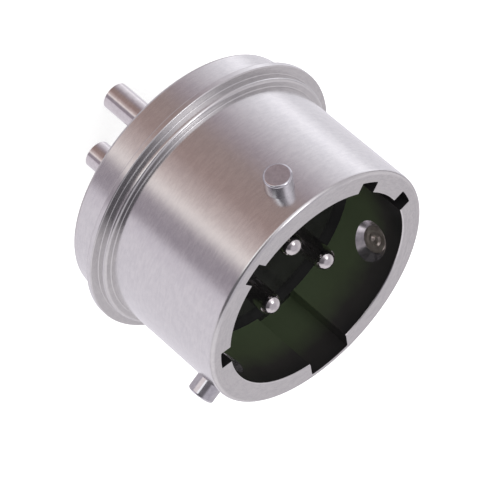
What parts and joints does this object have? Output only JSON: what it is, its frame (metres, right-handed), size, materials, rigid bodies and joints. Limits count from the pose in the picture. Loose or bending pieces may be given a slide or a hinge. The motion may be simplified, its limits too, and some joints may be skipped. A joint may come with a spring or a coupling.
{
  "type": "sealed bayonet receptacle",
  "caption": "Round sealed bayonet receptacle with keyed mouth, dark glass floor, pin contacts and solder cups behind; its pilot solders into a panel hole.",
  "frame": {"origin": "centre of the ring flange's rear seating face, on the shell's axis", "axes": "+Z along the shell's axis out of the mating mouth, +Y towards the main keyway"},
  "size_m": [0.0216, 0.0216, 0.0204],
  "materials": {
    "stainless_shell": "fine turned and passivated, satin",
    "pin_steel": "drawn pin steel, semi-bright",
    "plated_contact": "bright nickel plate",
    "seal_glass": "opaque black fused glass, glossy"
  },
  "bodies": {
    "root": {"shell": "stainless_shell", "seal": "seal_glass", "bayonet_pin_1": "pin_steel", "bayonet_pin_2": "pin_steel", "bayonet_pin_3": "pin_steel", "contact_1": "plated_contact", "contact_2": "plated_contact", "contact_3": "plated_contact"}
  },
  "joints": []
}
